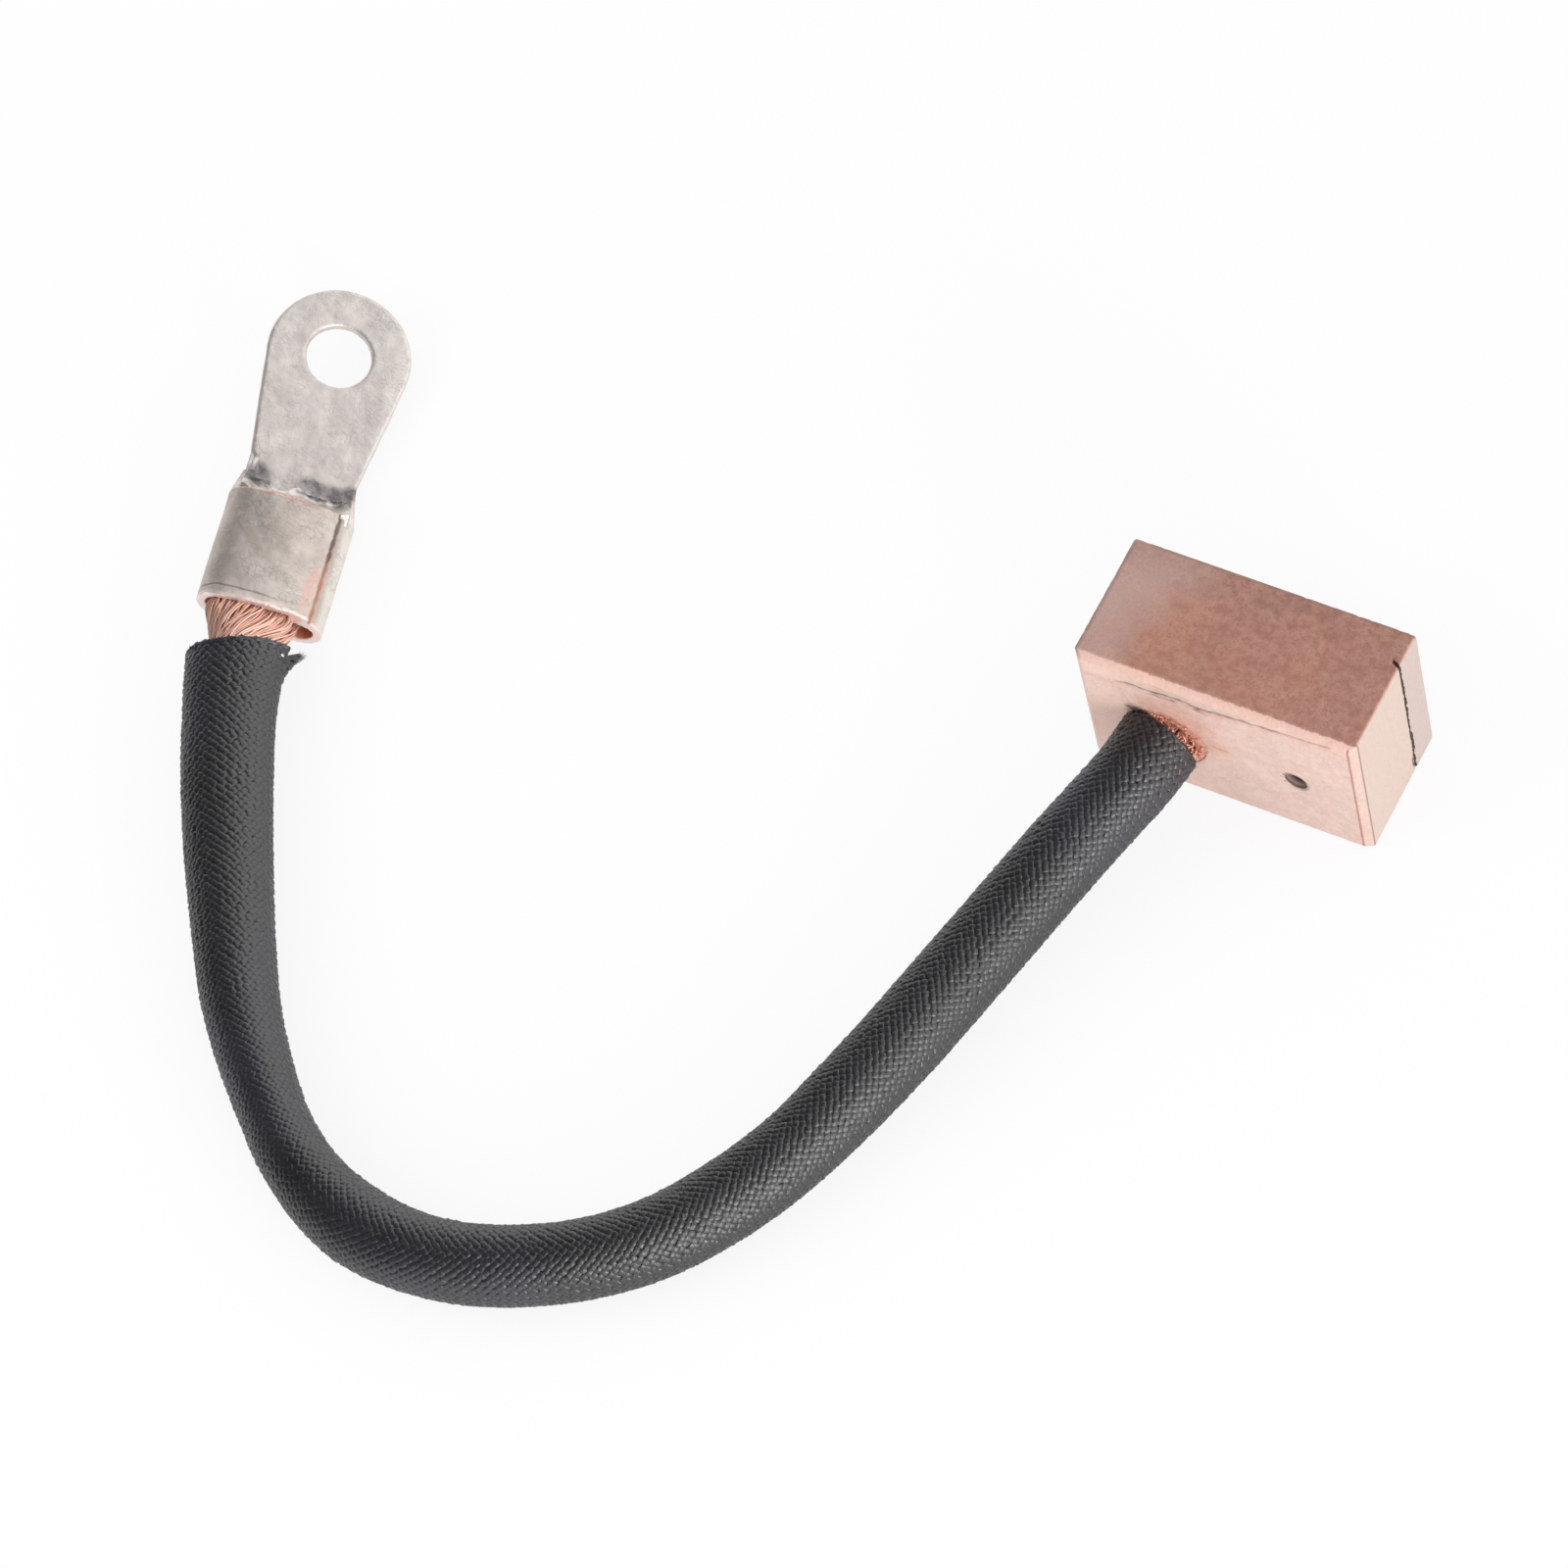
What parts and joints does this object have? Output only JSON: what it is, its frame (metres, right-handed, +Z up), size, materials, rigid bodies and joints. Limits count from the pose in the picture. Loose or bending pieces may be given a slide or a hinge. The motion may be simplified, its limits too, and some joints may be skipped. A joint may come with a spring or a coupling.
{
  "type": "wiper brush contact",
  "caption": "Sintered copper-graphite contact brush with a sleeved, stranded copper lead tamped into its back and a folded ring terminal on the lead's end.",
  "frame": {"origin": "middle of the block's base, on the surface that the block, the lead and the terminal lie on", "axes": "+X along the block's length, +Y out of the contact face and away from the lead, +Z up"},
  "size_m": [0.1364, 0.1049, 0.02],
  "materials": {
    "copper_graphite": "sintered, satin",
    "copper_powder": "tamped powder, matt",
    "copper_rope": "bright stranded",
    "braided_sleeve": "varnished braid",
    "tinned_sheet": "dull tin plate",
    "solder": "cast, satin"
  },
  "bodies": {
    "root": {"brush_block": "copper_graphite", "tamping_plug": "copper_powder", "lead_rope": "copper_rope", "lead_sleeve": "braided_sleeve", "ring_terminal": "tinned_sheet", "solder_fillet": "solder"}
  },
  "joints": []
}
